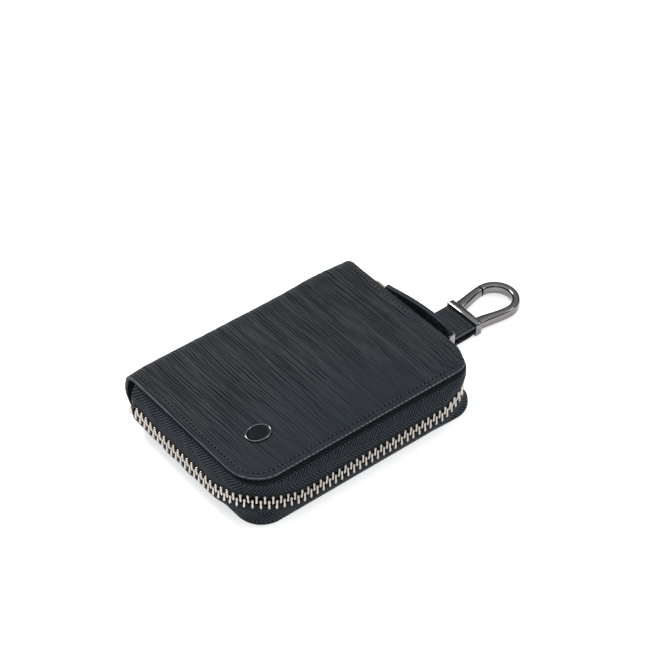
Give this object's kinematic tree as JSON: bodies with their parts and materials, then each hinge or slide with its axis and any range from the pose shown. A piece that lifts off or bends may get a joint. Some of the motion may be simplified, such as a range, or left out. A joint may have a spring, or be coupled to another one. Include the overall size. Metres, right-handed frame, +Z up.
{
  "type": "zip-around leather key case",
  "caption": "Zip-around leather case that opens flat on a rounded spine, with swinging key hooks inside, a zip slider with a leather pull, and a short strap with a gated loop clip.",
  "frame": {"origin": "middle of the case's underside, where it lies on its back cover", "axes": "+X along the spine toward the strap and clip, +Y from the front edge to the spine, +Z up"},
  "size_m": [0.1742, 0.0863, 0.0267],
  "materials": {
    "navy_leather": "fine wavy grain, low sheen",
    "lining_cloth": "plain woven lining",
    "stiffening_board": "fibre board",
    "zip_tape": "herringbone woven tape",
    "nickel": "polished warm nickel",
    "gunmetal": "polished dark nickel"
  },
  "bodies": {
    "back_cover": {"back_leather": "navy_leather", "back_board": "stiffening_board", "back_lining": "lining_cloth", "lower_tape": "zip_tape", "zip_teeth_lower": "nickel", "bottom_stop": "nickel", "strap_base": "navy_leather", "key_plate": "nickel", "key_rod": "nickel", "plate_rivet_left": "nickel", "plate_rivet_right": "nickel"},
    "spine": {"spine_leather": "navy_leather", "spine_board": "stiffening_board", "spine_lining": "lining_cloth"},
    "front_cover": {"front_leather": "navy_leather", "front_board": "stiffening_board", "front_lining": "lining_cloth", "upper_tape": "zip_tape", "zip_teeth_upper": "nickel", "slip_pocket": "lining_cloth", "badge": "gunmetal"},
    "zip_slider": {"slider": "nickel"},
    "zip_pull": {"pull_link": "nickel", "pull_tab": "navy_leather", "pull_end": "gunmetal"},
    "strap": {"strap_end": "navy_leather", "clip_frame": "gunmetal", "gate_pin": "gunmetal"},
    "gate": {"clip_gate": "gunmetal"},
    "hook_1": {"key_hook_1": "nickel"},
    "hook_2": {"key_hook_2": "nickel"},
    "hook_3": {"key_hook_3": "nickel"},
    "hook_4": {"key_hook_4": "nickel"}
  },
  "joints": [
    {"name": "spine_fold", "type": "hinge", "parent": "back_cover", "child": "spine", "pos_m": [0, 0.0388, 0.0022], "axis": [-1, 0, 0], "range_deg": [0, 90]},
    {"name": "cover_fold", "type": "hinge", "parent": "spine", "child": "front_cover", "pos_m": [0, 0.0388, 0.0238], "axis": [-1, 0, 0], "range_deg": [0, 90]},
    {"name": "zip_travel", "type": "slide", "parent": "back_cover", "child": "zip_slider", "axis": [0, -1, 0], "range_m": [0, 0.042], "deforming": ["zip_teeth_lower", "zip_teeth_upper"]},
    {"name": "pull_swing", "type": "hinge", "parent": "zip_slider", "child": "zip_pull", "pos_m": [0.06085, 0.0275, 0.0132], "axis": [0, 0, 1], "range_deg": [-5, 160]},
    {"name": "strap_flex", "type": "hinge", "parent": "back_cover", "child": "strap", "pos_m": [0.071, -0.00125, 0.0054], "axis": [0, -1, 0], "range_deg": [0, 80]},
    {"name": "gate_swing", "type": "hinge", "parent": "strap", "child": "gate", "pos_m": [0.1031, 0.0074, 0.00325], "axis": [0, 0, 1], "range_deg": [0, 28], "stiffness_Nm_per_rad": 0.01, "springref_deg": -8.59},
    {"name": "hook_1_swing", "type": "hinge", "parent": "back_cover", "child": "hook_1", "pos_m": [-0.0195, 0.0207, 0.0074], "axis": [-1, 0, 0], "range_deg": [0, 36]},
    {"name": "hook_2_swing", "type": "hinge", "parent": "back_cover", "child": "hook_2", "pos_m": [-0.0065, 0.0207, 0.0074], "axis": [-1, 0, 0], "range_deg": [0, 36]},
    {"name": "hook_3_swing", "type": "hinge", "parent": "back_cover", "child": "hook_3", "pos_m": [0.0065, 0.0207, 0.0074], "axis": [-1, 0, 0], "range_deg": [0, 36]},
    {"name": "hook_4_swing", "type": "hinge", "parent": "back_cover", "child": "hook_4", "pos_m": [0.0195, 0.0207, 0.0074], "axis": [-1, 0, 0], "range_deg": [0, 36]}
  ],
  "couplings": [
    {"joint": "cover_fold", "follows": "spine_fold", "ratio": 1}
  ]
}
